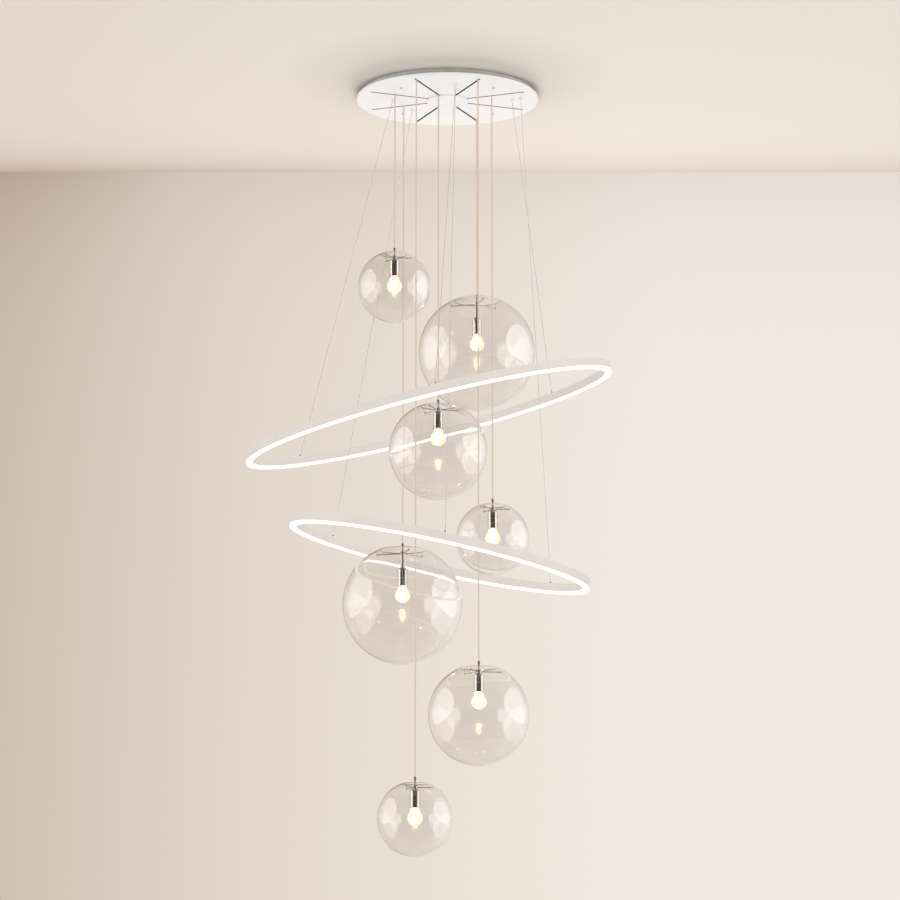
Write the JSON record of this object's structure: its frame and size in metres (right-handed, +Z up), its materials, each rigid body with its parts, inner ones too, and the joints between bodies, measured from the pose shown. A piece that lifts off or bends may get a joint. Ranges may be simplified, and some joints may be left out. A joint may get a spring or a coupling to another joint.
{
  "type": "globe pendant light",
  "caption": "Round slotted ceiling canopy hung with clear glass globe lamps at stepped heights on cords that pass through tilted ring lights held by steel cables.",
  "frame": {"origin": "on the ceiling face at the middle of the mounting pan", "axes": "+Z up to the ceiling, +X to the right and +Y away as the picture shows it"},
  "size_m": [1.0108, 1.0358, 2.132],
  "materials": {
    "pan_steel": "dark grey powder coat",
    "canopy_white": "satin white paint",
    "fitting_steel": "satin nickel",
    "driver_plastic": "moulded",
    "terminal_plastic": "moulded",
    "cable_steel": "stranded wire",
    "ring_white": "matt white powder coat",
    "led_strip": "coated strip",
    "opal_diffuser": "opal, satin",
    "carrier_plastic": "moulded nylon",
    "cord_fabric": "braided sleeve",
    "chrome": "polished",
    "opal_bulb": "opal",
    "clear_glass": "clear, polished"
  },
  "bodies": {
    "canopy": {"ceiling_pan": "pan_steel", "canopy_disc": "canopy_white", "centre_cap": "canopy_white", "canopy_screws": "fitting_steel", "led_driver": "driver_plastic", "terminal_block": "terminal_plastic", "cable_nipples": "fitting_steel", "ring_cables": "cable_steel", "upper_ring_levelling_cable": "cable_steel", "lower_ring_levelling_cable": "cable_steel"},
    "upper_ring": {"upper_ring_channel": "ring_white", "upper_ring_led_strip": "led_strip", "upper_ring_diffuser": "opal_diffuser", "upper_ring_cable_studs": "fitting_steel"},
    "lower_ring": {"lower_ring_channel": "ring_white", "lower_ring_led_strip": "led_strip", "lower_ring_diffuser": "opal_diffuser", "lower_ring_cable_studs": "fitting_steel"},
    "carrier_1": {"carrier_1": "carrier_plastic"},
    "pendant_1": {"cord_1": "cord_fabric", "spider_1": "chrome", "lampholder_1": "chrome", "bulb_1": "opal_bulb", "globe_1": "clear_glass"},
    "carrier_2": {"carrier_2": "carrier_plastic"},
    "pendant_2": {"cord_2": "cord_fabric", "spider_2": "chrome", "lampholder_2": "chrome", "bulb_2": "opal_bulb", "globe_2": "clear_glass"},
    "carrier_3": {"carrier_3": "carrier_plastic"},
    "pendant_3": {"cord_3": "cord_fabric", "spider_3": "chrome", "lampholder_3": "chrome", "bulb_3": "opal_bulb", "globe_3": "clear_glass"},
    "carrier_4": {"carrier_4": "carrier_plastic"},
    "pendant_4": {"cord_4": "cord_fabric", "spider_4": "chrome", "lampholder_4": "chrome", "bulb_4": "opal_bulb", "globe_4": "clear_glass"},
    "carrier_5": {"carrier_5": "carrier_plastic"},
    "pendant_5": {"cord_5": "cord_fabric", "spider_5": "chrome", "lampholder_5": "chrome", "bulb_5": "opal_bulb", "globe_5": "clear_glass"},
    "carrier_6": {"carrier_6": "carrier_plastic"},
    "pendant_6": {"cord_6": "cord_fabric", "spider_6": "chrome", "lampholder_6": "chrome", "bulb_6": "opal_bulb", "globe_6": "clear_glass"},
    "carrier_7": {"carrier_7": "carrier_plastic"},
    "pendant_7": {"cord_7": "cord_fabric", "spider_7": "chrome", "lampholder_7": "chrome", "bulb_7": "opal_bulb", "globe_7": "clear_glass"}
  },
  "joints": [
    {"name": "upper_ring_tilt", "type": "hinge", "parent": "canopy", "child": "upper_ring", "pos_m": [-0.03149, -0.51008, -0.92748], "axis": [0.3569, 0.9222, 0.1492], "range_deg": [0, 12], "deforming": ["upper_ring_levelling_cable"]},
    {"name": "lower_ring_tilt", "type": "hinge", "parent": "canopy", "child": "lower_ring", "pos_m": [-0.32317, 0.26302, -1.21773], "axis": [0.4245, -0.8986, -0.111], "range_deg": [0, 12], "deforming": ["lower_ring_levelling_cable"]},
    {"name": "carrier_1_slide", "type": "slide", "parent": "canopy", "child": "carrier_1", "axis": [-0.9239, -0.3827, 0], "range_m": [-0.004, 0.04]},
    {"name": "pendant_1_swing", "type": "hinge", "parent": "carrier_1", "child": "pendant_1", "pos_m": [-0.14623, -0.06057, -0.02], "axis": [-0.3827, 0.9239, 0], "range_deg": [-0.4, 3]},
    {"name": "carrier_2_slide", "type": "slide", "parent": "canopy", "child": "carrier_2", "axis": [0.3827, 0.9239, 0], "range_m": [-0.05, 0.004]},
    {"name": "pendant_2_swing", "type": "hinge", "parent": "carrier_2", "child": "pendant_2", "pos_m": [0.08342, 0.20141, -0.02], "axis": [0.9239, -0.3827, 0], "range_deg": [-1.5, 2.5]},
    {"name": "carrier_3_slide", "type": "slide", "parent": "canopy", "child": "carrier_3", "axis": [-0.3827, -0.9239, 0], "range_m": [-0.002, 0.002]},
    {"name": "pendant_3_swing", "type": "hinge", "parent": "carrier_3", "child": "pendant_3", "pos_m": [-0.02526, -0.06098, -0.02], "axis": [-0.9239, 0.3827, 0], "range_deg": [-0.4, 0.3]},
    {"name": "carrier_4_slide", "type": "slide", "parent": "canopy", "child": "carrier_4", "axis": [0.9239, -0.3827, 0], "range_m": [-0.002, 0.05]},
    {"name": "pendant_4_swing", "type": "hinge", "parent": "carrier_4", "child": "pendant_4", "pos_m": [0.12342, -0.05112, -0.02], "axis": [-0.3827, -0.9239, 0], "range_deg": [-0.2, 2.5]},
    {"name": "carrier_5_slide", "type": "slide", "parent": "canopy", "child": "carrier_5", "axis": [-0.9239, 0.3827, 0], "range_m": [-0.002, 0.03]},
    {"name": "pendant_5_swing", "type": "hinge", "parent": "carrier_5", "child": "pendant_5", "pos_m": [-0.12342, 0.05112, -0.02], "axis": [0.3827, 0.9239, 0], "range_deg": [-0.2, 2]},
    {"name": "carrier_6_slide", "type": "slide", "parent": "canopy", "child": "carrier_6", "axis": [0.3827, -0.9239, 0], "range_m": [-0.022, 0.004]},
    {"name": "pendant_6_swing", "type": "hinge", "parent": "carrier_6", "child": "pendant_6", "pos_m": [0.08342, -0.20141, -0.02], "axis": [-0.9239, -0.3827, 0], "range_deg": [-0.5, 2.5]},
    {"name": "carrier_7_slide", "type": "slide", "parent": "canopy", "child": "carrier_7", "axis": [-0.3827, -0.9239, 0], "range_m": [-0.002, 0.004]},
    {"name": "pendant_7_swing", "type": "hinge", "parent": "carrier_7", "child": "pendant_7", "pos_m": [-0.08496, -0.2051, -0.02], "axis": [-0.9239, 0.3827, 0], "range_deg": [-0.25, 2.5]}
  ]
}
